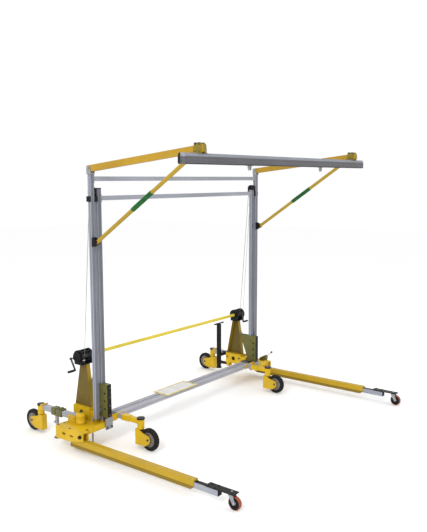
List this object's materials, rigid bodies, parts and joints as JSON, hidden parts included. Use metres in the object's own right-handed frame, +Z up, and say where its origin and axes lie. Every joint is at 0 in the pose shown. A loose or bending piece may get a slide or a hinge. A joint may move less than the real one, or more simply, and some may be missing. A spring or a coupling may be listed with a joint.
{
  "type": "portable gantry crane",
  "caption": "Wheeled gantry crane with winch-raised masts carrying a cantilevered enclosed track rail on braced arms, with outrigger legs, swivel casters and levelling jacks.",
  "frame": {"origin": "on the floor, under the middle of the whole crane's bounding box", "axes": "+X along the overhead rail to the crane's right tower, -Y from the masts towards the rail and the outrigger feet, +Z up"},
  "size_m": [3.7703, 3.298, 3.3392],
  "materials": {
    "rail_alu": "dark anodised extrusion",
    "bar_alu": "mill finish extrusion",
    "column_alu": "satin anodised extrusion",
    "yellow_paint": "gloss yellow powder coat",
    "gold_paint": "gold-yellow powder coat",
    "tie_paint": "lemon yellow powder coat",
    "olive_paint": "olive powder coat",
    "black_paint": "black powder coat",
    "green_sleeve": "green wrap sleeve",
    "zinc_steel": "zinc plated",
    "wire_rope": "galvanised wire rope",
    "tyre_rubber": "black rubber on a light disc",
    "plate_cream": "cream painted plate with a plain face"
  },
  "bodies": {
    "base_frame": {"base_rails": "bar_alu", "centre_plate": "plate_cream", "tie_bar": "tie_paint", "tower_base_l": "yellow_paint", "tower_base_r": "yellow_paint", "mast_shoes": "olive_paint", "fixed_masts": "column_alu", "lower_crossbar": "column_alu", "guide_blocks": "black_paint", "winch_posts": "gold_paint", "winch_frame_l": "black_paint", "winch_frame_r": "black_paint", "leg_outer_l": "gold_paint", "leg_outer_r": "gold_paint", "rear_tubes": "bar_alu", "caster_sockets": "yellow_paint", "jack_clamp_l": "olive_paint", "jack_column_r": "black_paint", "winch_cables": "wire_rope"},
    "lift_frame": {"lift_mast_l": "column_alu", "lift_mast_r": "column_alu", "upper_crossbar": "column_alu", "arm_l": "gold_paint", "arm_r": "gold_paint", "braces": "yellow_paint", "brace_sleeves": "green_sleeve", "mast_heads": "black_paint", "rail": "rail_alu", "rail_fittings": "black_paint", "fall_cable_l": "wire_rope", "fall_cable_r": "wire_rope"},
    "winch_drum_l": {"winch_drum_l": "zinc_steel"},
    "winch_crank_l": {"winch_crank_l": "black_paint"},
    "sheave_l": {"sheave_l": "zinc_steel"},
    "trolley_l": {"trolley_l": "zinc_steel"},
    "fork_front_l": {"fork_front_l": "yellow_paint"},
    "wheel_front_l": {"wheel_front_l": "tyre_rubber"},
    "fork_rear_l": {"fork_rear_l": "yellow_paint"},
    "wheel_rear_l": {"wheel_rear_l": "tyre_rubber"},
    "fork_leg_l": {"fork_leg_l": "zinc_steel"},
    "wheel_leg_l": {"wheel_leg_l": "tyre_rubber"},
    "leg_inner_l": {"leg_inner_l": "column_alu"},
    "front_jack_l": {"front_jack_l": "zinc_steel"},
    "winch_drum_r": {"winch_drum_r": "zinc_steel"},
    "winch_crank_r": {"winch_crank_r": "black_paint"},
    "sheave_r": {"sheave_r": "zinc_steel"},
    "trolley_r": {"trolley_r": "zinc_steel"},
    "fork_front_r": {"fork_front_r": "yellow_paint"},
    "wheel_front_r": {"wheel_front_r": "tyre_rubber"},
    "fork_rear_r": {"fork_rear_r": "yellow_paint"},
    "wheel_rear_r": {"wheel_rear_r": "tyre_rubber"},
    "fork_leg_r": {"fork_leg_r": "zinc_steel"},
    "wheel_leg_r": {"wheel_leg_r": "tyre_rubber"},
    "leg_inner_r": {"leg_inner_r": "column_alu"},
    "front_jack_r": {"front_jack_r": "zinc_steel"},
    "jack_leg_l": {"jack_leg_l": "black_paint"},
    "jack_foot_r": {"jack_foot_r": "black_paint"},
    "jack_handle_r": {"jack_handle_r": "black_paint"},
    "latch_pin_l": {"latch_pin_l": "zinc_steel"},
    "latch_pin_r": {"latch_pin_r": "zinc_steel"}
  },
  "joints": [
    {"name": "mast_lift", "type": "slide", "parent": "base_frame", "child": "lift_frame", "axis": [0, 0, 1], "range_m": [0, 1.8], "deforming": ["fall_cable_l", "fall_cable_r"]},
    {"name": "winch_drum_turn_l", "type": "hinge", "parent": "base_frame", "child": "winch_drum_l", "pos_m": [-1.525, 0.796, 0.995], "axis": [1, 0, 0], "continuous": true},
    {"name": "winch_crank_turn_l", "type": "hinge", "parent": "base_frame", "child": "winch_crank_l", "pos_m": [-1.646, 0.846, 0.98], "axis": [1, 0, 0], "continuous": true},
    {"name": "sheave_turn_l", "type": "hinge", "parent": "base_frame", "child": "sheave_l", "pos_m": [-1.525, 0.565, 2.868], "axis": [1, 0, 0], "continuous": true},
    {"name": "trolley_run_l", "type": "slide", "parent": "lift_frame", "child": "trolley_l", "axis": [1, 0, 0], "range_m": [-0.9, 0.65]},
    {"name": "front_caster_swivel_l", "type": "hinge", "parent": "base_frame", "child": "fork_front_l", "pos_m": [-1.297, 0.105, 0.2], "axis": [0, 0, 1], "continuous": true},
    {"name": "front_wheel_spin_l", "type": "hinge", "parent": "fork_front_l", "child": "wheel_front_l", "pos_m": [-1.297, -0.03, 0.127], "axis": [1, 0, 0], "continuous": true},
    {"name": "rear_caster_swivel_l", "type": "hinge", "parent": "base_frame", "child": "fork_rear_l", "pos_m": [-1.67, 1.387, 0.2], "axis": [0, 0, 1], "continuous": true},
    {"name": "rear_wheel_spin_l", "type": "hinge", "parent": "fork_rear_l", "child": "wheel_rear_l", "pos_m": [-1.67, 1.522, 0.127], "axis": [1, 0, 0], "continuous": true},
    {"name": "leg_caster_swivel_l", "type": "hinge", "parent": "leg_inner_l", "child": "fork_leg_l", "pos_m": [-1.8285, -1.548, 0.15], "axis": [0, 0, 1], "continuous": true},
    {"name": "leg_wheel_spin_l", "type": "hinge", "parent": "fork_leg_l", "child": "wheel_leg_l", "pos_m": [-1.8285, -1.583, 0.066], "axis": [1, 0, 0], "continuous": true},
    {"name": "leg_extend_l", "type": "slide", "parent": "base_frame", "child": "leg_inner_l", "axis": [0, -1, 0], "range_m": [-0.12, 0.45]},
    {"name": "front_jack_screw_l", "type": "slide", "parent": "base_frame", "child": "front_jack_l", "axis": [0, 0, 1], "range_m": [0, 0.17]},
    {"name": "winch_drum_turn_r", "type": "hinge", "parent": "base_frame", "child": "winch_drum_r", "pos_m": [1.525, 0.796, 0.995], "axis": [1, 0, 0], "continuous": true},
    {"name": "winch_crank_turn_r", "type": "hinge", "parent": "base_frame", "child": "winch_crank_r", "pos_m": [1.646, 0.846, 0.98], "axis": [1, 0, 0], "continuous": true},
    {"name": "sheave_turn_r", "type": "hinge", "parent": "base_frame", "child": "sheave_r", "pos_m": [1.525, 0.565, 2.868], "axis": [1, 0, 0], "continuous": true},
    {"name": "trolley_run_r", "type": "slide", "parent": "lift_frame", "child": "trolley_r", "axis": [1, 0, 0], "range_m": [-0.65, 0.9]},
    {"name": "front_caster_swivel_r", "type": "hinge", "parent": "base_frame", "child": "fork_front_r", "pos_m": [1.297, 0.105, 0.2], "axis": [0, 0, 1], "continuous": true},
    {"name": "front_wheel_spin_r", "type": "hinge", "parent": "fork_front_r", "child": "wheel_front_r", "pos_m": [1.297, -0.03, 0.127], "axis": [1, 0, 0], "continuous": true},
    {"name": "rear_caster_swivel_r", "type": "hinge", "parent": "base_frame", "child": "fork_rear_r", "pos_m": [1.67, 1.387, 0.2], "axis": [0, 0, 1], "continuous": true},
    {"name": "rear_wheel_spin_r", "type": "hinge", "parent": "fork_rear_r", "child": "wheel_rear_r", "pos_m": [1.67, 1.522, 0.127], "axis": [1, 0, 0], "continuous": true},
    {"name": "leg_caster_swivel_r", "type": "hinge", "parent": "leg_inner_r", "child": "fork_leg_r", "pos_m": [1.8285, -1.548, 0.15], "axis": [0, 0, 1], "continuous": true},
    {"name": "leg_wheel_spin_r", "type": "hinge", "parent": "fork_leg_r", "child": "wheel_leg_r", "pos_m": [1.8285, -1.583, 0.066], "axis": [1, 0, 0], "continuous": true},
    {"name": "leg_extend_r", "type": "slide", "parent": "base_frame", "child": "leg_inner_r", "axis": [0, -1, 0], "range_m": [-0.12, 0.45]},
    {"name": "front_jack_screw_r", "type": "slide", "parent": "base_frame", "child": "front_jack_r", "axis": [0, 0, 1], "range_m": [-0.17, 0]},
    {"name": "drop_leg_slide_l", "type": "slide", "parent": "base_frame", "child": "jack_leg_l", "axis": [0, 0, 1], "range_m": [0, 0.055]},
    {"name": "prop_foot_slide_r", "type": "slide", "parent": "base_frame", "child": "jack_foot_r", "axis": [0, 0, 1], "range_m": [-0.12, 0]},
    {"name": "prop_handle_turn_r", "type": "hinge", "parent": "base_frame", "child": "jack_handle_r", "pos_m": [1.49, 1.125, 0.8], "axis": [0, 0, 1], "continuous": true},
    {"name": "latch_pull_l", "type": "slide", "parent": "base_frame", "child": "latch_pin_l", "axis": [-1, 0, 0], "range_m": [0, 0.025], "stiffness_N_per_m": 800, "springref_m": -0.005},
    {"name": "latch_pull_r", "type": "slide", "parent": "base_frame", "child": "latch_pin_r", "axis": [0, -0.766, 0.6428], "range_m": [0, 0.025], "stiffness_N_per_m": 800, "springref_m": -0.005}
  ],
  "couplings": [
    {"joint": "winch_drum_turn_l", "follows": "mast_lift", "rad_per_m": 26.596},
    {"joint": "winch_crank_turn_l", "follows": "mast_lift", "rad_per_m": -106.38},
    {"joint": "sheave_turn_l", "follows": "mast_lift", "rad_per_m": -24.691},
    {"joint": "winch_drum_turn_r", "follows": "mast_lift", "rad_per_m": 26.596},
    {"joint": "winch_crank_turn_r", "follows": "mast_lift", "rad_per_m": -106.38},
    {"joint": "sheave_turn_r", "follows": "mast_lift", "rad_per_m": -24.691},
    {"joint": "prop_handle_turn_r", "follows": "prop_foot_slide_r", "rad_per_m": -314.16}
  ]
}
